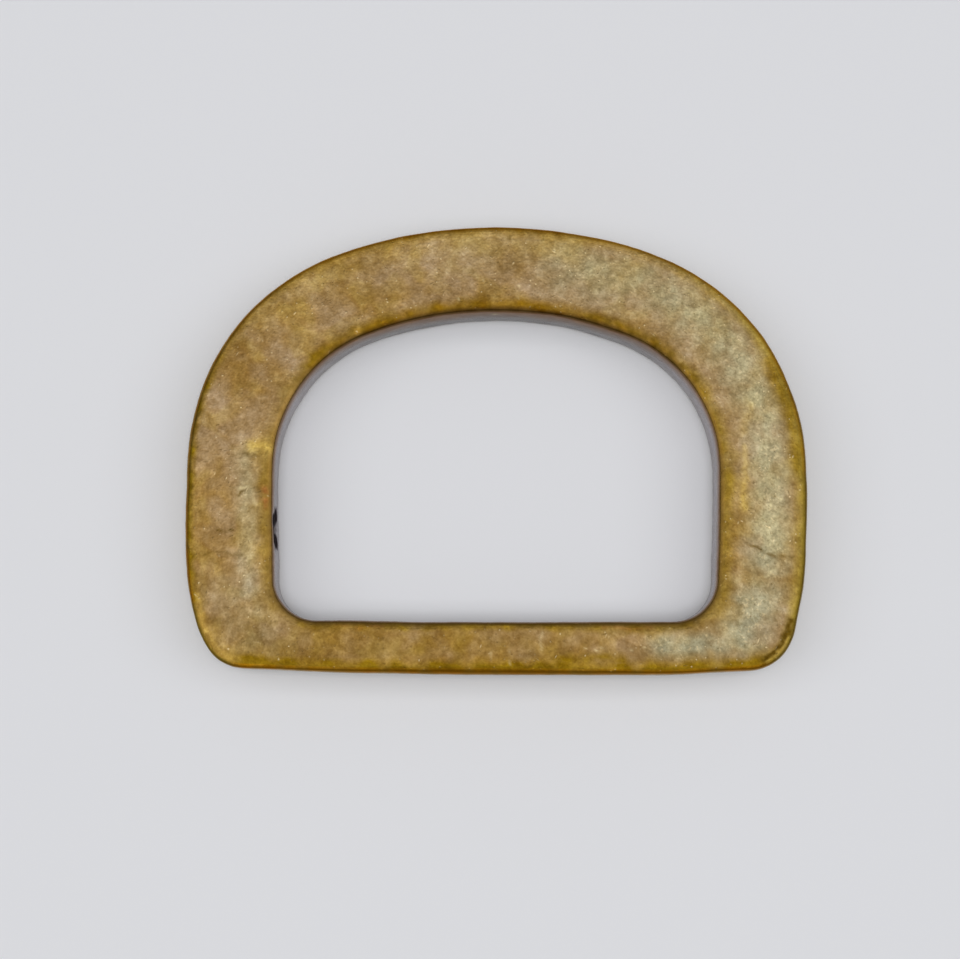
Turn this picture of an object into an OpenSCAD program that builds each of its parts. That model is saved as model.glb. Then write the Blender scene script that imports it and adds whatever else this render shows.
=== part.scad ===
// A flat cast D ring in antique brass, for the end of a 25 mm strap or webbing.
// It lies on its lower face, with that face at z = 0 and the middle of its box at x = 0, y = 0.
// The straight bar is at the front (-Y), and the arched crown is at the back (+Y).

/* [Opening] */
// Width of the opening between the limbs, which takes 25 mm webbing
opening_w = 25; // [18:0.5:36]
// Height of the opening at its middle, from the bar to the crown
opening_h = 17.5; // [14:0.1:26]
// Radius of the opening's two shoulders, where the crown turns down into the limbs
opening_shoulder_r = 8.1; // [6:0.1:10]
// Radius of the opening's two corners, where the limbs meet the bar
opening_corner_r = 2.4; // [1:0.1:4]

/* [Band] */
// Width of the band at the middle of the crown
crown_w = 4.9; // [3:0.1:8]
// Width of the band at each limb
limb_w = 5; // [3:0.1:8]
// Width of the straight bar at its middle
bar_w = 3; // [2:0.1:6]
// What the outer shoulders' radius has over the opening's
shoulder_w = 4.8; // [3.5:0.1:6.5]
// Radius of the two outer corners beside the bar
outer_corner_r = 2.9; // [1.6:0.1:4.5]
// Thickness of the casting
thickness = 4; // [2:0.1:6]

/* [Curves] */
// Angle that the crown's shallow arc turns through on each side of the middle, in degrees
crown_turn = 21.3; // [16:0.1:30]
// Angle by which the outer side of a limb has leaned in where the corner starts, in degrees
limb_lean = 8.5; // [3:0.5:14]
// Angle by which the opening's side has leaned in where its corner starts, in degrees
opening_lean = 2.6; // [0.5:0.1:8]
// Angle by which the bar's outer edge has bowed where the corner starts, in degrees
bar_bow = 2.7; // [0.5:0.1:6]
// Angle by which the opening's edge along the bar has bowed where its corner starts, in degrees
opening_bow = 0.7; // [0.2:0.1:4]

/* [Worn edges] */
// How far in from the outside the worn rounding starts
outer_edge_w = 0.8; // [0.2:0.1:1.3]
// How far the worn rounding round the outside drops
outer_edge_drop = 0.5; // [0.2:0.1:0.9]
// How far in from the opening the worn rounding starts
opening_edge_w = 1; // [0.2:0.1:1.3]
// How far the worn rounding round the opening drops
opening_edge_drop = 0.5; // [0.2:0.1:0.9]

/* [Hidden] */

// The antique brass plating
brass_colour = [0.60, 0.47, 0.29];

// The overall size, and the two ends of the opening
outer_w = opening_w + 2 * limb_w;
outer_h = bar_w + opening_h + crown_w;
outer_top = outer_h / 2;
outer_base = -outer_h / 2;
opening_top = outer_top - crown_w;
opening_base = outer_base + bar_w;

// The roundings are held under half of the thinnest wall that they run along
wall_share = 0.45;
edge_w_limit = wall_share * min(bar_w, limb_w, crown_w);
edge_drop_limit = wall_share * thickness;

// Steps along each arc of half an outline, and round a quarter of an edge
crown_steps = 8;
shoulder_steps = 14;
limb_steps = 4;
corner_steps = 10;
bar_steps = 3;
edge_steps = 5;

// Points [x, y, normal angle] along an arc, without its last one
function arc(centre, r, from, to, steps) = [
    for (i = [0:steps - 1])
        let (a = from + (to - from) * i / steps)
        [centre.x + r * cos(a), centre.y + r * sin(a), a]
];

// The right half of an outline, from the top of the crown down to the middle of the bar.
// It is one smooth chain of five arcs: crown, shoulder, limb, corner and bar.
// The angles, the shoulder and the corner are given, and the half width fixes the crown's radius.
// The radii of the limb and the bar then follow from closing the chain, as two linear equations.
function half_outline(half_w, top, base, shoulder_r, corner_r, lean, bow) =
    let (
        crown_r = (half_w - shoulder_r * (1 - sin(crown_turn))) / sin(crown_turn),
        widest_y = top - crown_r * (1 - cos(crown_turn)) - shoulder_r * cos(crown_turn),
        across = half_w - corner_r * (cos(lean) - sin(bow)),
        down = widest_y - base - corner_r * (cos(bow) - sin(lean)),
        fall = sin(bow) * sin(lean) - (1 - cos(lean)) * (1 - cos(bow)),
        limb_r = (down * sin(bow) - across * (1 - cos(bow))) / fall,
        bar_r = (across * sin(lean) - down * (1 - cos(lean))) / fall,
        limb_c = [half_w - limb_r, widest_y],
        corner_c = limb_c + (limb_r - corner_r) * [cos(lean), -sin(lean)]
    )
    concat(
        arc([0, top - crown_r], crown_r, 90, 90 - crown_turn, crown_steps),
        arc([half_w - shoulder_r, widest_y], shoulder_r, 90 - crown_turn, 0, shoulder_steps),
        arc(limb_c, limb_r, 0, -lean, limb_steps),
        arc(corner_c, corner_r, -lean, bow - 90, corner_steps),
        arc([0, base + bar_r], bar_r, bow - 90, -90, bar_steps),
        [[0, base, -90]]
    );

// A whole outline: the right half, then its mirror image from the bar back up to the crown
function outline(half) = concat(
    half,
    [for (i = [len(half) - 2:-1:1]) [-half[i].x, half[i].y, 180 - half[i].z]]
);

// One side of the band from its lower face to its upper one, as [set back, height].
// Each worn edge is a quarter of an ellipse, with the upright wall between the two.
function side(edge_w, edge_drop) =
    let (
        back = min(edge_w, edge_w_limit),
        drop = min(edge_drop, edge_drop_limit),
        quarter = [
            for (i = [0:edge_steps])
                let (a = 90 * i / edge_steps)
                [back * (1 - sin(a)), drop * (1 - cos(a))]
        ]
    )
    concat(quarter, [for (i = [edge_steps:-1:0]) [quarter[i].x, thickness - quarter[i].y]]);

// A point of the outside's outline, moved in by the side's set back and up to its height
function set_in(p, s) = [p.x - s.x * cos(p.z), p.y - s.x * sin(p.z), s.y];

// The same for the opening, whose side is set back the other way, into the metal
function set_out(p, s) = [p.x + s.x * cos(p.z), p.y + s.x * sin(p.z), s.y];

// Triangles of a closed tube of rings, each ring with as many points
function tube_faces(rings, points) = [
    for (ring = [0:rings - 1], k = [0:points - 1])
        let (
            here = ring * points,
            on = (ring + 1) % rings * points,
            next = (k + 1) % points
        )
        each [
            [here + k, here + next, on + next],
            [here + k, on + next, on + k]
        ]
];

// The casting: the band's rounded section, carried round between the two outlines
module d_ring() {
    outside = outline(half_outline(
        outer_w / 2, outer_top, outer_base,
        opening_shoulder_r + shoulder_w, outer_corner_r, limb_lean, bar_bow
    ));
    opening = outline(half_outline(
        opening_w / 2, opening_top, opening_base,
        opening_shoulder_r, opening_corner_r, opening_lean, opening_bow
    ));
    outer_side = side(outer_edge_w, outer_edge_drop);
    opening_side = side(opening_edge_w, opening_edge_drop);
    points = [
        for (i = [0:len(outside) - 1])
            each concat(
                [for (s = outer_side) set_in(outside[i], s)],
                [for (k = [len(opening_side) - 1:-1:0]) set_out(opening[i], opening_side[k])]
            )
    ];
    faces = tube_faces(len(outside), len(outer_side) + len(opening_side));
    color(brass_colour)
        polyhedron(points, faces, convexity = 4);
}

d_ring();
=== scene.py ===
# %% [markdown]
# # A cast D ring in antique brass
#
# This scene dresses one flat D ring for 25 mm webbing. The real ring is a zinc casting that was
# tumbled, plated with brass, darkened with a chemical patina and rubbed back, so the gold shows where
# it was rubbed most. The ring could be taken over from the CAD model with a new material, but the
# model's edges are made of large flat facets. Here its surface is worked out again from the same arcs,
# on a fine grid that has room for dents.
#
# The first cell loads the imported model, which gives the frame, the bodies and the size to stay within.
# From here on, lengths are in mm and angles in degrees unless a comment says otherwise.

import bpy
import numpy as np
from mathutils import Matrix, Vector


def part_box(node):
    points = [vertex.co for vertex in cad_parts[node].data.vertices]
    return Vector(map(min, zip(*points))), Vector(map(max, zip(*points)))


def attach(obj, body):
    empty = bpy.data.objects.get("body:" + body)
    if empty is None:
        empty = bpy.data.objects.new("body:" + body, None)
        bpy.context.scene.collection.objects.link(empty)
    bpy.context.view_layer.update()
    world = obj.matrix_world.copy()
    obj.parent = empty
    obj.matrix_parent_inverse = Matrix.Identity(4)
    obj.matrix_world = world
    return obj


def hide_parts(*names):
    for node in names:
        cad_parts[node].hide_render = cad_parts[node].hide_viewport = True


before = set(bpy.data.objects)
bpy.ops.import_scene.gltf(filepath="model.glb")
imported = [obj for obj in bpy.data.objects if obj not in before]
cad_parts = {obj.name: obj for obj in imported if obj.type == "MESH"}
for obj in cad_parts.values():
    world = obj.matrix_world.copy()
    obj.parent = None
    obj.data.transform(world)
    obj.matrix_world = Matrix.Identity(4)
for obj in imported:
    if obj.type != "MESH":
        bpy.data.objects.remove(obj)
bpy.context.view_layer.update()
MM = 0.001
box_low, box_high = (np.array(corner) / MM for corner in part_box("d_ring"))
print("CAD box in mm:", (box_high - box_low).round(3))

# %% [markdown]
# ## The camera
#
# The ring lies flat and is seen from almost straight above, from about 13 cm away: close enough to see
# a little of the opening's inner wall at the crown and the limbs, and none at the bar. A camera could
# be aimed with a constraint, but three unit vectors say the same thing: the view direction, the image's
# right and the image's up. The aim is the point of the upper face that lies at the middle of the image.

# %% Place the camera
LENS_MM = 85.0
CAMERA_DISTANCE = 127.0
CAMERA_TILT = 5.2
CAMERA_ROLL = -0.2
CAMERA_AIM = np.array([-0.90, -1.745, box_high[2]])
CLIP_METRES = (0.01, 20)


def camera_axes(tilt, roll):
    """The image's right and up, and the way back to the camera, as unit vectors.

    The camera leans from straight down towards -Y by the tilt, then turns about its view by the roll.
    """
    t, r = np.radians([tilt, roll])
    back = np.array([0, -np.sin(t), np.cos(t)])
    right = np.array([1.0, 0, 0])
    up = np.cross(back, right)
    return np.cos(r) * right - np.sin(r) * up, np.sin(r) * right + np.cos(r) * up, back


right, up, back = camera_axes(CAMERA_TILT, CAMERA_ROLL)
camera_data = bpy.data.cameras.new("camera")
camera_data.lens = LENS_MM
camera_data.clip_start, camera_data.clip_end = CLIP_METRES
camera = bpy.data.objects.new("camera", camera_data)
pose = np.eye(4)
pose[:3, :3] = np.stack([right, up, back], axis=1)
pose[:3, 3] = (CAMERA_AIM + back * CAMERA_DISTANCE) * MM
camera.matrix_world = Matrix(pose.tolist())
bpy.context.collection.objects.link(camera)
bpy.context.scene.camera = camera
print("camera at mm:", (pose[:3, 3] / MM).round(1))

# %% [markdown]
# ## The two outlines
#
# Seen from above, the ring is the space between two closed lines. Each is a smooth chain of five arcs
# on either side: crown, shoulder, limb, corner and bar. They could be drawn as a Bezier curve, but arcs
# are how such a ring is dimensioned, and each point comes with its normal, which the worn edges need.
# The numbers repeat the CAD model's.

# %% Sizes that the CAD model is built from
thickness = box_high[2] - box_low[2]
outer_top, outer_base = box_high[1], box_low[1]
outer_half_w = box_high[0]
LIMB_W = 5.0
CROWN_W = 4.9
BAR_W = 3.0
CROWN_TURN = 21.3
OUTSIDE_ARCS = {"shoulder_r": 12.9, "corner_r": 2.9, "lean": 8.5, "bow": 2.7}
OPENING_ARCS = {"shoulder_r": 8.1, "corner_r": 2.4, "lean": 2.6, "bow": 0.7}
print("thickness", round(thickness, 3), "opening width", round(2 * (outer_half_w - LIMB_W), 3))

# %% Arcs and the half outline
STEPS = {"crown": 88, "shoulder": 143, "limb": 82, "corner": 60, "bar": 107}


def arc(centre, radius, start, end, steps):
    """Points [x, y, normal angle] at equal angles along an arc from start up to, but not including, end."""
    a = start + (end - start) * np.arange(steps) / steps
    return np.stack([centre[0] + radius * np.cos(a), centre[1] + radius * np.sin(a), a], axis=1)


def half_outline(half_w, top, base, shoulder_r, corner_r, lean, bow):
    """Right half of an outline: crown, shoulder, limb, corner and bar, each on from the last one's normal.

    The half width fixes the crown's radius. The limb's and the bar's radii then solve two linear
    equations, which say that the chain ends in the middle of the bar.
    """
    turn, lean, bow, quarter = np.radians([CROWN_TURN, lean, bow, 90])
    crown_r = (half_w - shoulder_r * (1 - np.sin(turn))) / np.sin(turn)
    widest_y = top - crown_r * (1 - np.cos(turn)) - shoulder_r * np.cos(turn)
    across = half_w - corner_r * (np.cos(lean) - np.sin(bow))
    down = widest_y - base - corner_r * (np.cos(bow) - np.sin(lean))
    equations = [[1 - np.cos(lean), np.sin(bow)], [np.sin(lean), 1 - np.cos(bow)]]
    limb_r, bar_r = np.linalg.solve(equations, [across, down])
    limb_c = np.array([half_w - limb_r, widest_y])
    corner_c = limb_c + (limb_r - corner_r) * np.array([np.cos(lean), -np.sin(lean)])
    return np.concatenate([
        arc((0, top - crown_r), crown_r, quarter, quarter - turn, STEPS["crown"]),
        arc((half_w - shoulder_r, widest_y), shoulder_r, quarter - turn, 0, STEPS["shoulder"]),
        arc(limb_c, limb_r, 0, -lean, STEPS["limb"]),
        arc(corner_c, corner_r, -lean, bow - quarter, STEPS["corner"]),
        arc((0, base + bar_r), bar_r, bow - quarter, -quarter, STEPS["bar"]),
        [[0, base, -quarter]],
    ])


print("stations along one outline:", 2 * sum(STEPS.values()))

# %% Draw both lines


def outline(half):
    """The whole line, clockwise from the top of the crown: the half, then its mirror image.

    Returns its points and their normals.
    """
    x, y, a = np.concatenate([half, (half[-2:0:-1] * [-1, 1, -1]) + [0, 0, np.pi]]).T
    return np.stack([x, y], axis=1), np.stack([np.cos(a), np.sin(a)], axis=1)


opening_half_w = outer_half_w - LIMB_W
opening_top, opening_base = outer_top - CROWN_W, outer_base + BAR_W
outside, outside_n = outline(half_outline(outer_half_w, outer_top, outer_base, **OUTSIDE_ARCS))
opening, opening_n = outline(half_outline(opening_half_w, opening_top, opening_base, **OPENING_ARCS))
for name, line in (("outside", outside), ("opening", opening)):
    print(name, "mm:", np.ptp(line, axis=0).round(2), "points:", len(line))

# %% [markdown]
# ## Where the casting isn't even
#
# No such ring is quite symmetric. Its lower left corner is worn rounder than the other, and the left
# limb stands a little straighter. A sculpted mesh could hold that, but a few soft bumps along each line
# are enough: each one moves the line out or in, round an angle seen from the middle of the ring.

# %% Move both lines a little in and out
# Each bump: the angle of its middle, its width in degrees, and how far it moves the line
OUTSIDE_BUMPS = [
    (212.5, 4.5, -0.20), (198.7, 13.2, 0.29), (192.4, 22.6, -0.23), (9, 15, -0.07), (334.6, 11, 0.12),
    (329.5, 5, -0.17), (308, 6.5, 0.09), (264, 27, -0.06), (54, 11, 0.06), (83, 30, -0.04),
]
OPENING_BUMPS = [(60, 10, 0.04), (165, 14, -0.03), (216, 8, 0.05)]


def soft_bumps(points, bumps):
    """Sum of bell curves over the points' polar angle: amount * exp(-(difference / width)^2)."""
    angle = np.degrees(np.arctan2(points[:, 1], points[:, 0]))
    centre, width, amount = np.array(bumps).T
    away = (angle[:, None] - centre + 180) % 360 - 180
    return (amount * np.exp(-((away / width) ** 2))).sum(axis=1)


outside_move = soft_bumps(outside, OUTSIDE_BUMPS)
opening_move = soft_bumps(opening, OPENING_BUMPS)
outside = outside + outside_n * outside_move[:, None]
opening = opening + opening_n * opening_move[:, None]
for name, move in (("outside", outside_move), ("opening", opening_move)):
    print(name, "moved by mm:", move.min().round(2), "to", move.max().round(2))

# %% [markdown]
# ## The band's section
#
# The ring was cast with square sides. Tumbling and rubbing wore its faces down towards the edges, so
# each face ends in a long, shallow roll-off, and only the last bit is a real rounding. A Bevel modifier
# would give one round curve. Here the height is a sum of two: a parabola over the whole worn width, and
# a quarter of an ellipse over the small rounding at its end.

# %% One worn edge, and one side of the band
EDGE_DROP = 0.5
# Points along the roll-off and round the rounding
LOWER_EDGE_STEPS = (3, 4)
UPPER_EDGE_STEPS = (5, 8)


def worn_edge(width, rounding, roll_off, flat_steps, round_steps):
    """How far in from the side and how deep below the face a worn edge runs, for every station.

    With t from 0 at its start on the face to 1 at the side, the depth is roll off * t^2, plus the rest of
    the drop * (1 - sqrt(1 - s^2)) over the rounding, where s goes from 0 to 1. Returns set back, depth
    and t.
    """
    start = 1 - rounding / width
    flat = np.arange(flat_steps) / flat_steps * start[:, None]
    s = np.sin(np.linspace(0, np.pi / 2, round_steps))
    t = np.concatenate([flat, start[:, None] + (1 - start)[:, None] * s], axis=1)
    s = np.clip((t - start[:, None]) / (1 - start)[:, None], 0, 1)
    roll_off = roll_off[:, None]
    depth = roll_off * t**2 + (EDGE_DROP - roll_off) * (1 - np.sqrt(1 - s**2))
    return width[:, None] * (1 - t), depth, t


def worn_side(wall_steps, width, rounding, roll_off):
    """One side of the band from bottom to top: the lower worn edge, the upright wall, the upper worn edge.

    Returns set back, height and t, which is 1 all over the wall.
    """
    low_back, low_depth, low_t = worn_edge(width, rounding, roll_off, *LOWER_EDGE_STEPS)
    high_back, high_depth, high_t = worn_edge(width, rounding, roll_off, *UPPER_EDGE_STEPS)
    wall_heights = np.linspace(EDGE_DROP, thickness - EDGE_DROP, wall_steps + 2)[1:-1]
    wall = np.broadcast_to(wall_heights, (len(width), wall_steps))
    back = np.concatenate([low_back, 0 * wall, high_back[:, ::-1]], axis=1)
    height = np.concatenate([low_depth, wall, thickness - high_depth[:, ::-1]], axis=1)
    return back, height, np.concatenate([low_t, 0 * wall + 1, high_t[:, ::-1]], axis=1)


print("points in one lower and one upper worn edge:", sum(LOWER_EDGE_STEPS), sum(UPPER_EDGE_STEPS))

# %% [markdown]
# The wear is widest along the bar's outer edge, and the opening's edges are rolled off more than the
# outer ones. So each measure has a value of its own, and soft bumps that change it along the ring.

# %% How the wear varies along the ring
# Each measure: its even value, and bumps of (angle, width in degrees, amount)
OUTSIDE_WEAR = {
    "width": (0.72, [(270, 38, 0.35), (0, 30, 0.15), (180, 22, -0.12)]),
    "rounding": (0.13, [(270, 38, 0.20), (180, 30, 0.20), (0, 30, 0.07), (216, 13, -0.11)]),
    "roll_off": (0.11, [(270, 38, 0.08)]),
}
OPENING_WEAR = {
    "width": (0.95, [(270, 40, -0.4)]),
    "rounding": (0.20, [(90, 40, -0.04), (0, 45, -0.07), (180, 45, -0.08), (270, 40, -0.06)]),
    "roll_off": (0.20, [(180, 40, -0.10), (0, 40, -0.05), (270, 34, -0.07)]),
}
OUTER_WALL_STEPS, OPENING_WALL_STEPS = 5, 10


def wear_along(line, wear):
    """Each measure at every station of a line: its even value plus its soft bumps."""
    return {measure: even + soft_bumps(line, bumps) for measure, (even, bumps) in wear.items()}


outer_wear = wear_along(outside, OUTSIDE_WEAR)
opening_wear = wear_along(opening, OPENING_WEAR)
outer_side = worn_side(OUTER_WALL_STEPS, **outer_wear)
opening_side = worn_side(OPENING_WALL_STEPS, **opening_wear)
for name, wear in (("outer edge", outer_wear), ("opening edge", opening_wear)):
    print(name, "worn over mm:", wear["width"].min().round(2), "to", wear["width"].max().round(2))

# %% [markdown]
# ## The band as a grid of points
#
# Every point of the surface has two numbers: the station along the ring and the place round the
# section. The whole surface is four strips side by side: outer side, upper face, opening side and lower
# face. A curve with a bevel could carry one section round a path, but not one whose width and edges
# change on the way.

# %% Carry the section round the ring
FACE_STEPS, BACK_STEPS = 36, 10


def side_strip(line, normal, side, sign):
    """Stations by section points: line + sign * set back * normal in plan, at the side's height."""
    back, height, _ = side
    plan = line[:, None] + sign * back[..., None] * normal[:, None]
    return np.concatenate([plan, height[..., None]], axis=2)


def face_strip(start, end, steps):
    """Points in between two lines of stations: start + t * (end - start), for t inside 0 to 1."""
    t = (np.arange(steps) + 1) / (steps + 1)
    return start[:, None] + t[None, :, None] * (end - start)[:, None]


outer_strip = side_strip(outside, outside_n, outer_side, -1)
opening_strip = side_strip(opening, opening_n, opening_side, 1)[:, ::-1]
upper_strip = face_strip(outer_strip[:, -1], opening_strip[:, 0], FACE_STEPS)
lower_strip = face_strip(opening_strip[:, -1], outer_strip[:, 0], BACK_STEPS)
band = np.concatenate([outer_strip, upper_strip, opening_strip, lower_strip], axis=1)
stations, round_section = band.shape[:2]
print(stations, "stations of", round_section, "points:", 2 * stations * round_section, "triangles")

# %% [markdown]
# Wear and tarnish follow the edges, so each point also keeps how far into a worn edge it lies: 0 on the
# flat of a face, 1 on an upright side. The opening's side and the outer side get one such number each.
# A third number says how upright the surface stands, read off its normal.

# %% Zones of the section
WALL_STARTS, WALL_FULL = 0.6, 0.1
outer_t, opening_t = outer_side[2], opening_side[2][:, ::-1]
flat_zone = np.zeros((stations, FACE_STEPS))
back_zone = np.zeros((stations, BACK_STEPS))
outer_zone = np.concatenate([outer_t, flat_zone, 0 * opening_t, back_zone], axis=1)
opening_zone = np.concatenate([0 * outer_t, flat_zone, opening_t, back_zone], axis=1)


def surface_normals(grid):
    """Unit normals, out of the metal, of a grid closed on itself both ways: across x along.

    Across and along are central differences: round the section, and from station to station.
    """
    along = np.roll(grid, -1, axis=0) - np.roll(grid, 1, axis=0)
    across = np.roll(grid, -1, axis=1) - np.roll(grid, 1, axis=1)
    normal = np.cross(across, along)
    return normal / np.linalg.norm(normal, axis=2, keepdims=True)


normals = surface_normals(band)
steepness = np.abs(normals[..., 2])
wall_zone = np.clip((WALL_STARTS - steepness) / (WALL_STARTS - WALL_FULL), 0, 1)
middle_of_face = outer_strip.shape[1] + FACE_STEPS // 2
print("normals of the upper face look up:", bool((normals[:, middle_of_face, 2] > 0.9).all()))

# %% [markdown]
# ## Uneven metal
#
# A casting is never quite even: tumbling leaves its sides and edges slightly wavy, which a soft light
# shows as clouds, while its two faces are rubbed flat. A Displace modifier with a noise texture does
# the waves too, but it reads textures that the model can't keep. Here random plane waves are added up
# instead, at three lengths. The faces swell by a little more than the waves are high, and the CAD
# model's box cuts them flat again when the mesh is built, so the ring keeps its size.

# %% Waves in the surface
# Each layer: height, wavelength, number of waves, seed
WAVINESS = ((0.010, 5.0, 24, 1), (0.005, 1.6, 32, 2), (0.0025, 0.6, 40, 3))
SWELL = 0.03


def waves(points, length, count, seed):
    """Smooth random relief of about unit size: a sum of plane waves cos(k . p + phase).

    Their directions are random and their lengths lie between 0.7 and 1.4 times the given one. The sum is
    divided by the root of half their number.
    """
    rng = np.random.default_rng(seed)
    direction = rng.normal(size=(count, 3))
    direction /= np.linalg.norm(direction, axis=1, keepdims=True)
    wavelength = length * rng.uniform(0.7, 1.4, count)
    phase = rng.uniform(0, 2 * np.pi, count)
    k = 2 * np.pi * direction / wavelength[:, None]
    return np.cos(points @ k.T + phase).sum(axis=-1) / np.sqrt(count / 2)


waviness = sum(amount * waves(band, length, count, seed) for amount, length, count, seed in WAVINESS)
rise = SWELL * steepness - waviness
print("rise in mm:", rise.min().round(3), "to", rise.max().round(3))

# %% [markdown]
# ## Marks
#
# This ring has been used: it has pits, scratches, a knocked corner, patches rubbed down to the gold, and a
# paler grey-green patch on its right side. They could be painted by hand on an image, but an image has a
# fixed resolution and seams. Each mark here is a stroke along a short path in mm, with a soft edge. A
# stroke writes its strength into an attribute, which the material reads. It can also lift the surface, or
# sink it where the lift is below zero. That shows on the worn edges and the sides alone, because the faces
# are cut flat, so on a face a mark is colour. Broad tints lie evenly, and small marks are broken up by a
# patchy wave. Some strokes are painted light and shade rather than marks: dark lines beside the edges, the
# knocked corner's dark line and a glint on its rim.

# %% Strokes
TINTS = ("grey_green", "gold_and_glint", "amber", "copper", "dark", "pale", "crust")
EVEN_TINTS = ("grey_green", "gold_and_glint", "amber", "crust")
tint = {name: np.zeros((stations, round_section)) for name in TINTS}
wander = np.stack([waves(band, 0.9, 24, 11), waves(band, 0.9, 24, 12), 0 * band[..., 0]], axis=-1)
crooked = band + 0.05 * wander
patchy = np.clip(0.8 + 0.35 * waves(band, 0.5, 32, 13), 0, 1)


def stroke(points, path, width):
    """1 on the path, falling off as exp(-(distance / width)^2), by the distance to its nearest segment."""
    path = np.array(path, float)
    starts, ends = (path[:-1], path[1:]) if len(path) > 1 else (path, path)
    nearest = np.full(points.shape[:-1], np.inf)
    for start, end in zip(starts, ends):
        line = end - start
        t = np.clip((points - start) @ line / max(line @ line, 1e-9), 0, 1)
        nearest = np.minimum(nearest, ((points - start - t[..., None] * line) ** 2).sum(axis=-1))
    return np.exp(-nearest / width**2)


def on_face(path):
    """The path with each (x, y) lifted to the upper face, and each (x, y, z) as it is."""
    return [point if len(point) == 3 else (*point, thickness) for point in path]


print("points wander sideways by up to mm:", (0.05 * np.abs(wander).max()).round(2))

# %% What a stroke leaves
LINES = {"outside": (outside, outside_n), "opening": (opening, opening_n)}
STATIONS_APART = 12
SHOWS = 0.1


def beside(line, away, first, last):
    """A path beside the outside or the opening, away mm along its normal, from one station to another."""
    points, normal = LINES[line]
    pick = np.arange(first, last + 1, STATIONS_APART) % len(points)
    return [tuple(point) for point in points[pick] + away * normal[pick]]


def mark(kind, *strokes):
    """Makes strokes of one kind, each given as (strength, width, lift, then the points of its path).

    The surface rises by lift * shape, and the tint becomes the greatest strength * shape. Prints the
    share of the surface's points where it shows.
    """
    for strength, width, lift, *path in strokes:
        shape = stroke(crooked, on_face(path), width)
        if kind not in EVEN_TINTS:
            shape = shape * patchy
        rise[...] += lift * shape
        tint[kind] = np.maximum(tint[kind], strength * shape)
    print(f"{kind}: {len(strokes)} strokes, now on {(tint[kind] > SHOWS).mean():.1%} of the points")


# %% [markdown]
# A paler grey-green runs down the right shoulder and limb and round the corner into the bar. It is broad
# and ragged, so its strokes are wide and a wave breaks up their edge. The pale stripe on the left limb is
# fainter.

# %% The pale grey-green patch
mark(
    "grey_green",
    (0.65, 1.5, 0, (4.0, 10.3), (8.5, 9.4)),
    (0.15, 1.2, 0, (-1.5, 11.2), (2.4, 11.2)),
    (0.8, 1.4, 0, (10.0, 8.6), (13.2, 5.8), (14.9, 2.6)),
    (1.0, 1.15, 0, (15.1, 1.6), (15.4, -2.8), (15.2, -6.2)),
    (1.0, 1.35, 0, (14.7, -8.4), (13.6, -10.4)),
    (0.25, 1.6, 0, (-14.6, -8.4), (-13.4, -10.4)),
    (0.85, 0.8, 0, (13.0, -10.9), (9.2, -11.0)),
    (0.50, 0.60, 0, (-14.0, -0.4), (-13.9, -4.0), (-13.8, -8.2)),
)
ragged = 1 + 0.16 * waves(band, 1.4, 32, 4) + 0.08 * waves(band, 0.6, 32, 5)
tint["grey_green"] = np.clip(tint["grey_green"] * ragged, 0, 1)

# %% [markdown]
# Gold is brass rubbed bare: a patch on the left limb, a streak down the right one and thin lines beside the
# outer edge. The brightest line, on the rim of the knocked corner, is a painted highlight, a glint. The
# copper colour is a rarer, redder tarnish. Both could be one noise mask, but the eye knows these few
# places, so each is a stroke where it belongs.

# %% Gold rubbed bare, a painted highlight at the corner, and copper
mark(
    "gold_and_glint",
    (0.75, 0.34, 0, (-13.75, 0.15), (-13.2, 0.08), (-12.85, -0.05)),
    (0.9, 0.16, 0, (-13.55, 0.10), (-13.2, 0.02)),
    (0.42, 0.18, 0, (13.96, 0.2), (13.95, -1.2), (13.89, -2.3)),
    (0.75, 0.22, 0, (13.89, -2.6), (13.84, -3.3)),
    (0.25, 0.25, 0, (14.25, 2.6), (13.9, 1.0)),
    # The next two strokes, on the rim of the knocked corner, are a painted highlight.
    (1.0, 0.09, -0.02, *beside("outside", -0.24, 320, 360)),
    (1.6, 0.13, 0, *beside("outside", -0.30, 334, 346)),
    (0.5, 0.14, 0, *beside("outside", -0.46, 590, 670)),
    (0.20, 0.75, 0, *beside("outside", -0.95, 820, 1000)),
    (0.35, 0.35, 0, *beside("outside", -0.75, 600, 640)),
)
mark(
    "copper",
    (0.8, 0.24, 0, (-12.98, -2.3), (-12.92, -3.3)),
    (0.45, 0.13, 0, (6.03, -9.97), (8.87, -10.02)),
    (0.35, 0.13, 0, (-8.89, -9.93), (-6.33, -9.96)),
)

# %% [markdown]
# Beside the edges the patina is thin enough for the brass to shine through it as a deep golden brown.
# The band of it is wider along some stretches than others, and a slow wave makes it come and go.

# %% Deep golden brown beside the edges
mark(
    "amber",
    (0.42, 0.42, 0, (-13.15, -0.8), (-13.1, -2.6)),
    (1.15, 0.44, 0, *beside("outside", -0.34, 360, 590)),
    (1.1, 0.24, 0, *beside("outside", -0.16, 660, 800)),
    (0.8, 0.18, 0, *beside("outside", -0.12, 800, 1000)),
    (0.9, 0.38, 0, *beside("opening", 0.32, 820, 1080)),
    (0.6, 0.36, 0, *beside("opening", 0.30, 1080, 1180)),
    (0.5, 0.50, 0, *beside("opening", 0.55, 225, 345)),
    (0.32, 0.42, 0, *beside("opening", 0.45, 625, 760)),
    (0.6, 0.34, 0, *beside("opening", 0.26, 360, 600)),
    (0.34, 1.5, 0, (-12.0, -11.2), (4.0, -11.2)),
    (0.85, 0.42, 0, (3.36, -11.78), (7.0, -11.75)),
)
tint["amber"] *= 1 + 0.22 * waves(band, 1.3, 32, 6)
mark("amber", (0.85, 0.52, 0, *beside("outside", -0.60, 170, 230)))
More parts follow.
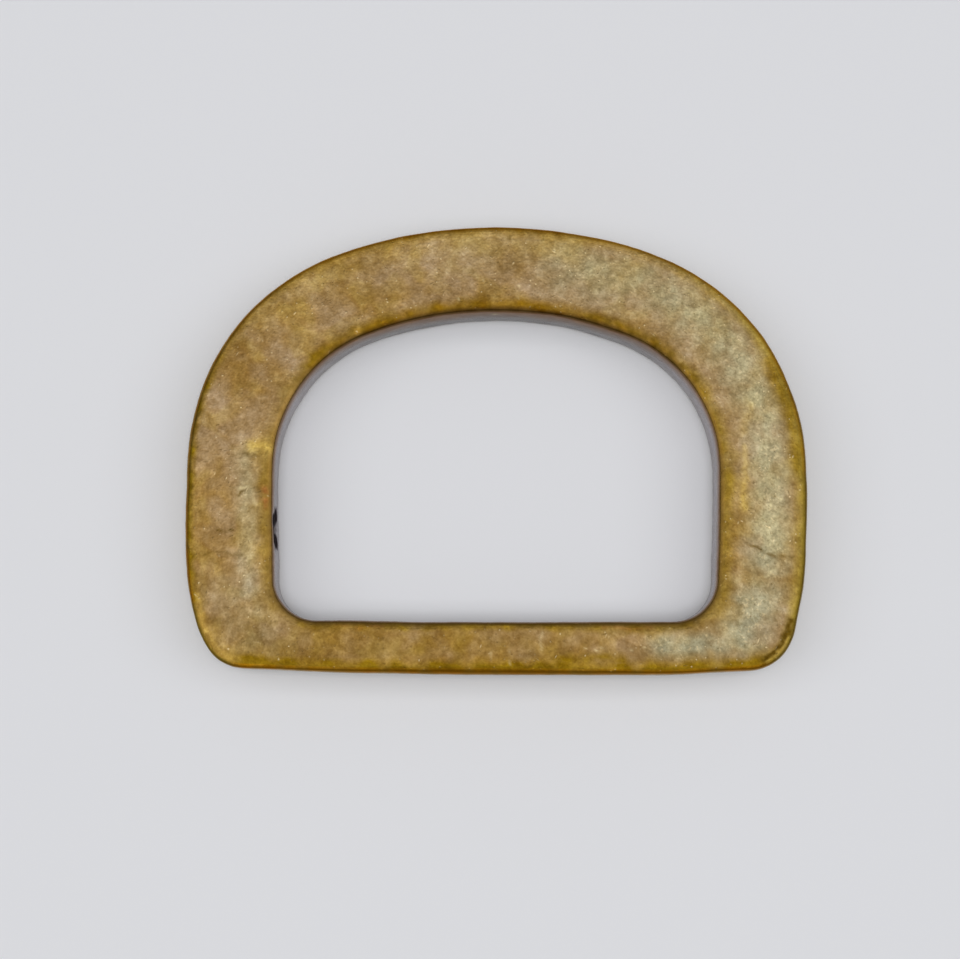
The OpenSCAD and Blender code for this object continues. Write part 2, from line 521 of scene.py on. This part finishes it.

# %% [markdown]
# Darker lines run beside the edges, deepest down the left outer edge and round the opening at the crown.
# They are painted shade, where the rounded edges turn away from the light.

# %% Dark lines beside the edges
mark(
    "dark",
    (0.46, 0.16, 0, *beside("outside", -0.40, 665, 800)),
    (0.4, 0.06, 0.02, *beside("outside", -0.27, 590, 665)),
    (0.60, 0.38, 0, *beside("opening", 0.36, 800, 960)),
    (0.40, 0.34, 0, *beside("opening", 0.26, 960, 1030)),
    (0.78, 0.38, 0, *beside("opening", 0.34, 60, 165)),
    (0.30, 0.42, 0, *beside("outside", -0.50, 785, 850)),
    (0.15, 0.25, 0, (4.0, -10.22), (8.4, -10.28)),
    (0.28, 0.20, 0, *beside("opening", 0.14, 225, 345)),
    (0.16, 0.25, 0, *beside("opening", 0.25, 625, 760)),
)

# %% [markdown]
# Pits are gas bubbles of the casting, and scratches and cracks came with use. They are the marks that
# the eye finds first, so each one that can be told apart has its own place.

# %% Pits, scratches and cracks
mark(
    "dark",
    (0.8, 0.13, 0.05, (0.75, 11.89)),
    (0.7, 0.11, 0.04, (1.94, 11.98)),
    (0.7, 0.11, 0.04, (2.56, 12.04)),
    (0.6, 0.10, 0.03, (-14.4, -0.2), (-13.97, -0.30), (-13.3, -0.35)),
    (0.5, 0.18, 0.03, (-14.81, -0.56)),
    (0.9, 0.08, 0.04, (-15.6, -4.68), (-14.5, -4.68)),
    (0.5, 0.08, 0.02, (-16.6, -5.92), (-15.2, -5.9), (-14.0, -6.1)),
    (0.6, 0.08, 0.03, (-14.66, -3.7)),
    (0.6, 0.08, 0.03, (-13.82, -3.62)),
    (0.8, 0.08, 0.04, (-14.5, -2.7), (-14.2, -2.4), (-13.9, -2.35)),
    (0.8, 0.12, 0.06, (15.56, -2.67)),
    (0.5, 0.06, 0.03, (14.16, -3.24), (14.7, -3.5), (15.1, -4.02)),
    (0.9, 0.09, 0.05, (13.8, -5.1), (14.9, -5.75), (15.65, -6.09), (16.54, -5.97)),
    (0.8, 0.10, 0.06, (12.53, -4.14)),
    (0.3, 0.09, 0.02, (12.99, 7.16), (12.93, 5.46)),
    (0.3, 0.10, 0.02, (10.52, 8.47), (10.46, 7.84)),
)

# %% [markdown]
# The lower right corner was knocked, which left a facet along its edge that tilts away from the light. Its
# narrow dark line is painted shade. It wanders less and is darker than any stroke above, so it is made by
# itself.

# %% The knocked corner
FACET_WIDTH, FACET_LIFT, FACET_DARKEST = 0.13, 0.08, 0.95
facet = stroke(band + 0.04 * wander, on_face(beside("outside", -0.44, 310, 358)), FACET_WIDTH)
# Painted shade: the facet's dark line.
facet_shade = np.clip((1.3 + 0.3 * waves(band, 0.4, 32, 14)) * facet, 0, FACET_DARKEST)
rise += FACET_LIFT * facet
tint["dark"] = np.maximum(tint["dark"], facet_shade)
print("facet shows on", int((facet_shade > SHOWS).sum()), "points")

# %% [markdown]
# Bright nicks are the newest marks: bare metal that hasn't tarnished yet, mostly specks under a tenth
# of a mm across. One of them lies on the crown's inner wall.

# %% Bright nicks
mark(
    "pale",
    (0.55, 0.09, 0, (15.33, -3.18)),
    (0.55, 0.09, 0, (15.95, -2.84)),
    (0.4, 0.06, 0, (1.21, 9.23)),
    (0.4, 0.06, 0, (1.32, 8.55)),
    (0.4, 0.07, 0, (3.22, 11.24)),
    (0.35, 0.07, 0, (-0.71, 9.57)),
    (0.35, 0.07, 0, (-2.12, 8.34)),
    (0.7, 0.12, 0.04, (-0.4, 7.9, 3.0), (0.1, 7.9, 2.9)),
    (0.22, 0.10, 0, (-14.35, -2.25), (-13.9, -2.15)),
    (0.2, 0.16, 0, (-13.5, -2.9), (-13.3, -3.2)),
    (0.3, 0.07, 0, (15.75, -6.5), (15.5, -6.75)),
    (0.25, 0.07, 0, (15.35, -6.75), (15.0, -7.1)),
    (0.12, 0.05, 0, (-0.20, -11.38), (-0.25, -11.82)),
    (0.18, 0.05, 0, (0.75, -11.27), (0.80, -12.04)),
    (0.14, 0.06, 0, (2.53, -10.32), (2.58, -11.26)),
    (0.35, 0.055, 0, (5.14, -11.14)),
    (0.35, 0.055, 0, (5.59, -11.25)),
    (0.35, 0.055, 0, (5.87, -11.08)),
    (0.35, 0.055, 0, (7.59, -11.19)),
    (0.35, 0.055, 0, (8.26, -11.13)),
)

# %% [markdown]
# The black crust on the opening's left wall is dried dirt. Its strokes run down the wall, which the
# camera sees at a grazing angle, and eat a little into it, as such dirt does into thin plating.

# %% Crust on the opening's left wall
mark(
    "crust",
    (1.5, 0.46, -0.08, (-12.5, -3.62, 1.3), (-12.5, -4.10, 3.2)),
    (1.3, 0.46, -0.03, (-12.5, -4.10, 3.0), (-12.5, -4.85, 3.0)),
    (0.55, 0.80, -0.02, (-12.5, -4.0, 2.0), (-12.5, -4.9, 2.3)),
    (0.9, 0.30, -0.02, (-12.5, -3.35, 2.3)),
    (0.8, 0.34, -0.02, (-12.5, -4.45, 1.7)),
    (0.7, 0.30, -0.02, (-12.5, -5.55, 2.5)),
    (1.3, 0.43, -0.06, (-12.5, -4.95, 3.0), (-12.5, -5.28, 1.4)),
)

# %% [markdown]
# ## Into the mesh
#
# The rise moves each point along its normal. The result is cut to the CAD model's box, which makes the
# faces flat and keeps the ring from ever being bigger than it should be. The mesh's faces are quads
# between neighbouring points, closed both ways, and look into the metal. The finish was matched to the
# photo like this, and with the quads turned over the worn edges would render darker. Nothing is left
# for a modifier to do, so the mesh is what every view and every export gets.

# %% Build the mesh
band = np.clip(band + normals * rise[..., None], box_low, box_high)
points = band.reshape(-1, 3)
here = np.arange(len(points)).reshape(stations, round_section)
ahead = np.roll(here, -1, axis=0)
across, across_ahead = np.roll(here, -1, axis=1), np.roll(ahead, -1, axis=1)
quads = np.stack([here, ahead, across_ahead, across], axis=-1).reshape(-1, 4)
mesh = bpy.data.meshes.new("d_ring_casting")
mesh.from_pydata((points * MM).tolist(), [], quads.tolist())
mesh.shade_smooth()
a, b, c, d = np.moveaxis(points[quads], 1, 0)
# Each quad and the origin make two thin cones, a . (b x c) / 6 and a . (c x d) / 6
volume = (a * np.cross(c, d - b)).sum() / 6
print("volume in mm3, negative when the faces look inwards:", round(volume, 1))

# %% [markdown]
# The zones and tints go into the mesh as one number a point, which a material can read by name and
# which stays on the surface wherever the ring goes.

# %% Attributes, and the piece's place in the model
zones = {"outer_edge": outer_zone, "opening_edge": opening_zone, "wall": wall_zone, **tint}
for name, values in zones.items():
    attribute = mesh.attributes.new(name, "FLOAT", "POINT")
    attribute.data.foreach_set("value", values.ravel().astype(np.float32))

ring = bpy.data.objects.new("d_ring_casting", mesh)
bpy.context.collection.objects.link(ring)
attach(ring, "root")
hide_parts("d_ring")
print("attributes:", ", ".join(zones))

# %% [markdown]
# ## Antique brass, plated and rubbed back
#
# The finish is brass plating over a zinc casting. A chemical patina turned the brass a dull olive
# brown, and rubbing took some of it off again: on the faces in specks and short scuffs, along the edges
# almost down to the gold. To the eye that is a matt, cloudy brown face inside a darker, warmer and
# glossier frame. An image of such a surface would show its own photo's light. Here every part is a
# procedural pattern, laid out in millimetres on the object's own coordinates, so nothing slides when
# the ring or the camera moves.
#
# Colours are picked as sRGB hex values, as a paint program shows them, but the shader works in linear
# light. One function converts them, and another adds a node with its settings and links.

# %% An empty material and two helpers
brass = bpy.data.materials.new("antique_brass_plating_rubbed_back")
brass.use_nodes = True
tree = brass.node_tree
tree.nodes.clear()


def linear(code):
    """An sRGB hex colour as linear RGBA: v / 12.92 near black, else ((v + 0.055) / 1.055)^2.4."""
    v = np.array([int(code[i : i + 2], 16) for i in (1, 3, 5)]) / 255
    return (*np.where(v <= 0.04045, v / 12.92, ((v + 0.055) / 1.055) ** 2.4), 1.0)


def add(kind, inputs=(), **settings):
    """Adds a node of a kind, sets its settings, and gives each input a value or a link from another socket.

    The inputs are a list, in the order of the node's own, or a dictionary by name or number. Returns the
    node's outputs.
    """
    node = tree.nodes.new("ShaderNode" + kind)
    for name, value in settings.items():
        setattr(node, name, value)
    for name, value in inputs.items() if isinstance(inputs, dict) else enumerate(inputs):
        if isinstance(value, bpy.types.NodeSocket):
            tree.links.new(value, node.inputs[name])
        else:
            node.inputs[name].default_value = value
    return node.outputs


print("a mid grey of #808080 is linear", round(linear("#808080")[0], 3))

# %% [markdown]
# ### Reading the ring
#
# The patterns need a place, and the wear needs the zones and tints that were written into the mesh. A
# few broad shares say where on the ring a point lies: at the crown, on the right, on an edge or on a
# wall.

# %% Coordinates, attributes and broad shares
place = add("TexCoord")["Object"]
along_x, along_y, along_z = add("SeparateXYZ", [place])
on_ring = {name: add("Attribute", attribute_name=name, attribute_type="GEOMETRY")["Fac"] for name in zones}
crown_side = add("MapRange", [along_y, 3 * MM, 7.5 * MM])[0]
right_side = add("MapRange", [along_x, 9 * MM, 15 * MM])[0]
edge = add("Math", [on_ring["outer_edge"], on_ring["opening_edge"]], operation="MAXIMUM")[0]
inner_wall = add("Math", [on_ring["opening_edge"], on_ring["wall"]], operation="MULTIPLY")[0]
outer_wall = add("Math", [on_ring["outer_edge"], on_ring["wall"]], operation="MULTIPLY")[0]
print("attributes read:", len(on_ring))

# %% [markdown]
# ### Layers of colour
#
# The finish is built from the ground up, as on the bench: each layer is a share from 0 to 1 and a
# colour, and covers that share of what lies beneath. The list is laid at the end, which takes one loop
# for all of it.
#
# The ground is the patina, which drifts between a golden brown and a greyer brown in clouds of one to
# three millimetres. Its pattern is noise, sized in millimetres. Noise in four dimensions gives each
# layer a pattern of its own, by another value of its fourth coordinate.

# %% Ground: clouds and patches
GOLDEN_BROWN, GREY_BROWN = linear("#816536"), linear("#8B7455")
OLIVE_GOLD, DUSTY_BROWN = linear("#907A3A"), linear("#8A7860")


def mottle(size_mm, octaves, roughness, distortion=0.0, seed=0.0):
    """Soft noise whose largest patches are about size_mm across, each octave half the size of the last."""
    inputs = {
        "Vector": place, "W": seed, "Scale": 1 / (size_mm * MM),
        "Detail": octaves - 1, "Roughness": roughness, "Distortion": distortion,
    }
    return add("TexNoise", inputs, noise_dimensions="4D")["Fac"]


clouds = mottle(3.0, 3, 0.7)
patches = mottle(1.8, 2, 0.5, 0.6, 2.0)
layers = [
    (add("MapRange", [clouds, 0.38, 0.62])[0], GREY_BROWN),
    (add("MapRange", [patches, 0.50, 0.60, 0.0, 0.25])[0], OLIVE_GOLD),
    (add("MapRange", [patches, 0.50, 0.40, 0.0, 0.20])[0], DUSTY_BROWN),
]
print("layers of ground:", len(layers))

# %% [markdown]
# A paler grey-green lies over the patina on the right, with small flakes in it. Darker olive lines in it
# are painted shade and pale spots are painted highlights, as of a crumpled surface. Low on the limb the
# grey-green is greyer.

# %% Pale grey-green, with painted shade and highlights
GREY_GREEN_LOW, GREY_GREEN_HIGH = linear("#8F8F78"), linear("#999475")
PAINTED_CREASE_SHADE, PAINTED_GLINT = linear("#706644"), linear("#CCB78E")
COLOUR = {"data_type": "RGBA"}
up_the_limb = add("MapRange", [along_y, -9.5 * MM, -4 * MM])[0]
grey_green_colour = add("Mix", {0: up_the_limb, 6: GREY_GREEN_LOW, 7: GREY_GREEN_HIGH}, **COLOUR)[2]
flakes = mottle(0.9, 5, 0.9, 0.6)
crumples = mottle(0.36, 2, 0.6, 1.6, 6.0)
for cut, amount, colour in (
    ([flakes, 0.38, 0.52, 0.90, 1.0], 0.70, grey_green_colour),
    ([crumples, 0.41, 0.34], 0.38, PAINTED_CREASE_SHADE),
    ([crumples, 0.59, 0.66], 0.28, PAINTED_GLINT),
):
    grey_green_here = add("Math", [on_ring["grey_green"], add("MapRange", cut)[0]], operation="MULTIPLY")[0]
    layers.append((add("Math", [grey_green_here, amount], operation="MULTIPLY")[0], colour))
print("layers up to the bloom:", len(layers))

# %% [markdown]
# ### Rubbed gold
#
# Where the patina is rubbed thin, the brass shows as a deep golden brown, and where it is rubbed
# through, as yellow. Edges are rubbed most. The attributes that the strokes wrote say how much, and a
# noise breaks them up.

# %% Worn rims of the faces
RIM_COLOURS = {
    "outer_edge": (linear("#947632"), linear("#8E7A2C")),
    "opening_edge": (linear("#78602F"), linear("#75622A")),
}
blots = mottle(0.8, 3, 0.7, 0.6, 10.0)
uneven = add("MapRange", [blots, 0.35, 0.65, 0.85, 1.15])[0]
for zone, (left_colour, right_colour) in RIM_COLOURS.items():
    wear = add("Math", [on_ring[zone], uneven], operation="MULTIPLY")[0]
    colour = add("Mix", {0: right_side, 6: left_colour, 7: right_colour}, **COLOUR)[2]
    layers.append((add("MapRange", [wear, 0.0, 0.7, 0.0, 0.8])[0], colour))
print("layers up to the rims:", len(layers))

# %% [markdown]
# The strokes of deep golden brown and copper come next. The very edge, where a face turns into a side, is
# the most rubbed of all. Its colour depends on how golden the face beside it is, and at the crown the
# opening's edge turns a deep red brown, which is partly painted shade.

# %% Amber, copper and the very edges
AMBER_LIMBS, AMBER_CROWN, COPPER = linear("#785F12"), linear("#735410"), linear("#8E5C32")
OUTER_LIMBS, OUTER_CROWN, OUTER_AMBER = linear("#8A7222"), linear("#C28C1C"), linear("#B4780A")
OPENING_PLAIN, OPENING_AMBER, OPENING_CROWN = linear("#8E703C"), linear("#A07A30"), linear("#481C00")
amber_blots = add("MapRange", [blots, 0.35, 0.65, 0.88, 1.06])[0]
amber = add("Math", [on_ring["amber"], amber_blots], operation="MULTIPLY", use_clamp=True)[0]
amber_colour = add("Mix", {0: crown_side, 6: AMBER_LIMBS, 7: AMBER_CROWN}, **COLOUR)[2]
outer_plain = add("Mix", {0: crown_side, 6: OUTER_LIMBS, 7: OUTER_CROWN}, **COLOUR)[2]
outer_colour = add("Mix", {0: amber, 6: outer_plain, 7: OUTER_AMBER}, **COLOUR)[2]
opening_rubbed = add("Mix", {0: crown_side, 6: OPENING_AMBER, 7: OPENING_CROWN}, **COLOUR)[2]
opening_colour = add("Mix", {0: amber, 6: OPENING_PLAIN, 7: opening_rubbed}, **COLOUR)[2]
layers += [
    (amber, amber_colour),
    (on_ring["copper"], COPPER),
    (add("MapRange", [on_ring["outer_edge"], 0.6, 0.9])[0], outer_colour),
    (add("MapRange", [on_ring["opening_edge"], 0.6, 0.95])[0], opening_colour),
]
print("layers up to the edges:", len(layers))

# %% [markdown]
# Gold lies over all of that, in curls, and on the rim of the knocked corner the same colour is a painted
# highlight. The upright sides keep a grey film inside the opening, with a brown rim at its top, and a
# duller gold outside. Near the crown the wall inside the opening is painted much darker, as painted shade.

# %% Gold and the upright sides
GOLD_AND_GLINT, WALL_RIM, OUTER_WALL_GOLD = linear("#BBA052"), linear("#83560F"), linear("#AE9760")
# The crown's dark wall colour is painted shade.
WALL_LIMBS, WALL_CROWN_SHADE = linear("#857B7F"), linear("#352A23")
curls = add("MapRange", [mottle(0.6, 3, 0.7, 1.6, 3.0), 0.3, 0.6, 0.5, 0.8])[0]
gold_and_glint = add("Math", [on_ring["gold_and_glint"], curls], operation="MULTIPLY")[0]
rim_starts = add("Mix", {0: crown_side, 2: 2.3 * MM, 3: 1.2 * MM})[0]
wall_height = add("MapRange", [along_z, rim_starts, 3.7 * MM])[0]
wall_top = add("Math", [inner_wall, wall_height], operation="MULTIPLY")[0]
wall_colour = add("Mix", {0: crown_side, 6: WALL_LIMBS, 7: WALL_CROWN_SHADE}, **COLOUR)[2]
layers += [(gold_and_glint, GOLD_AND_GLINT), (inner_wall, wall_colour), (wall_top, WALL_RIM), (outer_wall, OUTER_WALL_GOLD)]
print("layers under the texture:", len(layers))

# %% [markdown]
# ### Crumpled brightness
#
# Seen close, the face is made of many small crisp scraps, a little lighter or darker than the next, as the
# facets of hammered foil are where they catch the light or turn from it. This is painted light and shade,
# in the colour alone. Each layer is a noise cut in two at its middle value. Over them lies a soft mottle,
# whose patches come in all sizes from 4 mm down to 0.1 mm with about the same strength, as on any worn
# metal. Towards the bar the face is painted darker, as painted shade against the bright reflection of the
# softbox's hot centre there, and edges are smoother than faces.

# %% Scraps and grains
SHADE_AT_BAR, SHADE_ABOVE_BAR = 0.735, 0.94


def facet_light_and_shade(size_mm, seed, contrast):
    """Crisp patches of about size_mm, brighter where a bent noise is above its middle, else darker: painted
    light and shade of small facets.
    """
    noise = mottle(size_mm, 2, 0.5, 0.8, seed)
    return add("MapRange", [noise, 0.485, 0.515, 1 - contrast, 1 + contrast])[0]


def bent(where, patch_mm, shift_mm, detail):
    """Coordinates moved by up to shift_mm: where + shift * noise, with patches of about patch_mm."""
    noise = add("TexNoise", {"Vector": place, "Scale": 1 / (patch_mm * MM), "Detail": detail})["Color"]
    return add("VectorMath", [noise, (shift_mm * MM,) * 3, where], operation="MULTIPLY_ADD")[0]


def grains(size_mm, contrast):
    """One random brightness, from 1 - contrast to 1 + contrast, for each grain of about size_mm."""
    cells = add("TexVoronoi", {"Vector": bent(place, 0.8 * size_mm, 0.2, 1), "Scale": 1 / (size_mm * MM)})
    value = add("SeparateColor", [cells["Color"]])[0]
    return add("MapRange", [value, 0.0, 1.0, 1 - contrast, 1 + contrast])[0]


factors = [
    # The scraps are painted light and shade of small facets, in the colour alone.
    facet_light_and_shade(1.3, 20.0, 0.032),
    facet_light_and_shade(0.7, 21.0, 0.05),
    facet_light_and_shade(0.35, 22.0, 0.06),
    grains(0.5, 0.06),
    grains(0.25, 0.08),
    # Painted shade: the face darker towards the bar, where the softbox's hot centre shines brightest.
    add("MapRange", [along_y, -11.5 * MM, -6.5 * MM, SHADE_AT_BAR, SHADE_ABOVE_BAR])[0],
]
print("factors of brightness:", len(factors))

# %% The whole texture, smoother at the edges
EDGE_BRIGHTNESS = 0.91
grain = mottle(4.0, 6, 0.95)
texture = add("MapRange", [grain, 0.30, 0.70, 0.55, 1.45])[0]
calm_edge = add("MapRange", [edge, 0.45, 0.9, 0.42, 0.08])[0]
soft_relief = add("Math", [texture, calm_edge], operation="MULTIPLY")[0]
for factor in factors:
    texture = add("Math", [texture, factor], operation="MULTIPLY")[0]
near_edge = add("MapRange", [edge, 0.45, 0.9, 0.0, 0.8])[0]
off_wall = add("MapRange", [on_ring["wall"], 0.2, 0.9, 1.0, 0.2])[0]
smooth_edge = add("Math", [near_edge, off_wall], operation="MULTIPLY")[0]
texture = add("Mix", {0: smooth_edge, 2: texture, 3: EDGE_BRIGHTNESS})[0]
print("nodes so far:", len(tree.nodes))

# %% [markdown]
# Thicker patina takes more blue than red out of the light, so each channel gets the mottle to a power of
# its own. The mottle also carries the painted light and shade of the scraps and the painted shade towards
# the bar, which are tinted the same way. The grey-green patch is greyer, so there the channels stay closer
# together. The tinted texture multiplies all the layers so far.

# %% Lay the layers, and the film over them
POWERS = {"Red": 0.84, "Green": 1.03, "Blue": 1.48}
GREYING_ON_PATCH = 0.65


def laid(tone, layers):
    """The colour after each (share, colour) in turn: tone + share * (colour - tone)."""
    for share, colour in layers:
        tone = add("Mix", {0: share, 6: tone, 7: colour}, **COLOUR)[2]
    return tone


channels = {name: add("Math", [texture, power], operation="POWER")[0] for name, power in POWERS.items()}
coloured = add("CombineColor", channels)["Color"]
greyed = add("Math", [on_ring["grey_green"], GREYING_ON_PATCH], operation="MULTIPLY")[0]
texture_tint = add("Mix", {0: greyed, 6: coloured, 7: texture}, **COLOUR)[2]
face_tone = laid(GOLDEN_BROWN, layers)
face_tone = add("Mix", {0: 1.0, 6: face_tone, 7: texture_tint}, blend_type="MULTIPLY", **COLOUR)[2]
print("layers laid:", len(layers))

# %% [markdown]
# ### Specks, scuffs and pits
#
# Bright specks are bare high spots of the casting. Scuffs are the same, drawn out by the rubbing. Pits
# are dark, because polish never reaches their bottom. Each kind has its own spacing and size in mm.
# They crowd in clusters, and keep off the edges, which are rubbed smooth.

# %% Specks and pits


def specks(spacing_mm, radius_mm, share, angle=0.0, stretch=1.0, warp=0.0):
    """Scattered soft specks: one cell each spacing_mm, kept where its random value is under share.

    Each speck is a disc of radius_mm, drawn out stretch times along the angle from +X.
    """
    turned = add("Mapping", {"Vector": place, "Rotation": (0, 0, -np.radians(angle))})[0]
    drawn = add("Mapping", {"Vector": turned, "Scale": (1 / stretch, 1, 1)})[0]
    if warp:
        drawn = bent(drawn, 1.2 * spacing_mm, warp, 2)
    cells = add("TexVoronoi", {"Vector": drawn, "Scale": 1 / (spacing_mm * MM)})
    radius = radius_mm / spacing_mm
    disc = add("MapRange", [cells["Distance"], radius, 0.4 * radius])[0]
    value = add("SeparateColor", [cells["Color"]])[0]
    chosen = add("Math", [value, share], operation="LESS_THAN")[0]
    return add("Math", [disc, chosen], operation="MULTIPLY")[0]


bright = specks(0.28, 0.07, 0.25, warp=0.15)
for scuffs in (specks(0.45, 0.06, 0.2, 65, 2.5, 0.2), specks(0.5, 0.06, 0.2, -35, 2.5, 0.2)):
    bright = add("Math", [bright, scuffs], operation="MAXIMUM")[0]
pits = specks(0.3, 0.06, 0.4)
for scratches in (specks(0.4, 0.05, 0.5, 20, 3.0, 0.2), specks(0.45, 0.05, 0.5, 110, 3.0, 0.2)):
    pits = add("Math", [pits, scratches], operation="MAXIMUM")[0]
print("nodes so far:", len(tree.nodes))

# %% Where they show
clusters = add("MapRange", [mottle(1.3, 2, 0.5, 0.0, 11.0), 0.42, 0.60, 0.08, 0.42])[0]
more_on_grey_green = add("Math", [on_ring["grey_green"], 0.16], operation="MULTIPLY")[0]
clusters = add("Math", [clusters, more_on_grey_green], operation="ADD")[0]
on_flat = add("MapRange", [edge, 0.9, 0.5])[0]
speck_share = add("Math", [on_flat, clusters], operation="MULTIPLY")[0]
bright_share = add("Math", [bright, speck_share], operation="MULTIPLY")[0]
pit_share = add("Math", [pits, speck_share], operation="MULTIPLY")[0]
print("nodes so far:", len(tree.nodes))

# %% [markdown]
# Over the tinted texture lie the specks and pits, then the marks: dark ones, which the tinted texture still
# tints, bright nicks, and last of all the crust. The dark ones are pits and scratches, and painted shade
# beside the edges and on the knocked corner.

# %% The last layers
BRIGHT_SPECK, PIT_BROWN, NICK = linear("#D6C196"), linear("#6E5932"), linear("#E6D8A8")
# The dark colour serves pits and scratches, and also painted shade beside the edges and on the knocked
# corner.
DIRT_AND_SHADE, CRUST = linear("#54400C"), linear("#1C080C")
dirt_and_shade_colour = add("Mix", {0: 1.0, 6: DIRT_AND_SHADE, 7: texture_tint}, blend_type="MULTIPLY", **COLOUR)[2]
crust = add("MapRange", [on_ring["crust"], 0.10, 1.0], interpolation_type="SMOOTHSTEP")[0]
top_layers = [
    (bright_share, BRIGHT_SPECK),
    (pit_share, PIT_BROWN),
    (on_ring["dark"], dirt_and_shade_colour),
    (on_ring["pale"], NICK),
    (crust, CRUST),
]
final_tone = laid(face_tone, top_layers)
print("layers in all:", len(layers) + len(top_layers))

# %% [markdown]
# ### Gloss and fine relief
#
# The faces are matt: rubbing with grit leaves a surface that spreads light widely. Edges and the opening's
# wall are smoother, but the wall's brown rim and the crust are rough again. The bump reads the soft mottle,
# the specks and the pits, and leaves out the scraps, whose light and shade is painted in the colour alone.

# %% Roughness
FACE_ROUGH, WALL_ROUGH, CRUST_ROUGH = 0.50, 0.22, 0.95
by_zone = add("MapRange", [on_ring["wall"], 0.0, 1.0, FACE_ROUGH, WALL_ROUGH])[0]
by_flake = add("MapRange", [flakes, 0.3, 0.7, -0.05, 0.05])[0]
rim_extra = add("Mix", {0: crown_side, 2: 0.14, 3: 0.26})[0]
by_rim = add("Math", [wall_top, rim_extra], operation="MULTIPLY")[0]
by_crust = add("Math", [crust, CRUST_ROUGH], operation="MULTIPLY")[0]
rough = by_zone
for operation, value in (("ADD", by_flake), ("ADD", by_rim), ("MAXIMUM", by_crust)):
    rough = add("Math", [rough, value], operation=operation)[0]
print("roughness from", WALL_ROUGH, "on the wall to", CRUST_ROUGH, "on the crust")

# %% Bump and shader
BUMP_DEPTH, BUMP_STRENGTH = 0.08 * MM, 0.7
SPECK_HEIGHT = 0.1
speck_relief = add("Math", [bright, pits], operation="SUBTRACT")[0]
speck_relief = add("Math", [speck_relief, SPECK_HEIGHT], operation="MULTIPLY")[0]
height = add("Math", [soft_relief, speck_relief], operation="ADD")[0]
bump = add("Bump", {"Height": height, "Distance": BUMP_DEPTH, "Strength": BUMP_STRENGTH})["Normal"]
brass_inputs = {"Base Color": final_tone, "Metallic": 1.0, "Roughness": rough, "Normal": bump}
add("OutputMaterial", {"Surface": add("BsdfPrincipled", brass_inputs)["BSDF"]})
mesh.materials.append(brass)
print("nodes in the brass:", len(tree.nodes))

# %% [markdown]
# ## Floor and light
#
# The ring lies on plain white paper. Paper is matt and has almost no gloss, so all that it shows is the
# ring's soft shadow. It could be a sheet that curves up into a backdrop, but the camera looks down, so
# one large flat square does.

# %% The floor
FLOOR_HALF_METRES = 1.5
floor_mesh = bpy.data.meshes.new("floor")
floor_corners = np.array([(-1, -1, 0), (1, -1, 0), (1, 1, 0), (-1, 1, 0)]) * FLOOR_HALF_METRES
floor_mesh.from_pydata(floor_corners.tolist(), [], [(0, 1, 2, 3)])
floor = bpy.data.objects.new("floor", floor_mesh)
bpy.context.collection.objects.link(floor)
paper = bpy.data.materials.new("matt_white_paper")
paper.use_nodes = True
paper_shader = paper.node_tree.nodes["Principled BSDF"]
paper_shader.inputs["Base Color"].default_value = linear("#EAEBEF")
paper_shader.inputs["Roughness"].default_value = 0.9
paper_shader.inputs["Specular IOR Level"].default_value = 0.2
floor_mesh.materials.append(paper)
print("floor in metres:", 2 * FLOOR_HALF_METRES)

# %% [markdown]
# The light is a wide softbox, whose middle is brighter. A lamp with a small shade would throw hard
# shadows, but here the shadow fades out within a few millimetres. A matt metal face shows what lies in
# a wide cone about its mirror direction, so the bright middle straight above lights the faces, and the
# rounded edges turn away from it and go dark.

# %% Light
LIGHT_HEIGHT_METRES = 0.6
AMBIENT = 0.17


def softbox(name, reach, radiance, shift=0.0):
    """A flat light overhead, which reaches so many degrees to either side in x and y as seen from the ring.

    The shift moves it along Y, in metres.
    """
    data = bpy.data.lights.new(name, "AREA")
    data.shape = "RECTANGLE"
    data.size, data.size_y = 2 * LIGHT_HEIGHT_METRES * np.tan(np.radians(reach))
    data.energy = radiance * np.pi * data.size * data.size_y
    light = bpy.data.objects.new(name, data)
    light.location = (0, shift, LIGHT_HEIGHT_METRES)
    bpy.context.collection.objects.link(light)
    print(name, "in metres:", round(data.size, 2), "by", round(data.size_y, 2))


softbox("overhead_softbox", reach=(56, 22), radiance=1.15)
softbox("softbox_hot_centre", reach=(9, 9), radiance=9.0, shift=-0.05)
world = bpy.data.worlds.new("studio")
world.use_nodes = True
world.node_tree.nodes["Background"].inputs["Color"].default_value = (AMBIENT, AMBIENT, AMBIENT, 1)
bpy.context.scene.world = world
bpy.context.scene.view_settings.view_transform = "Standard"
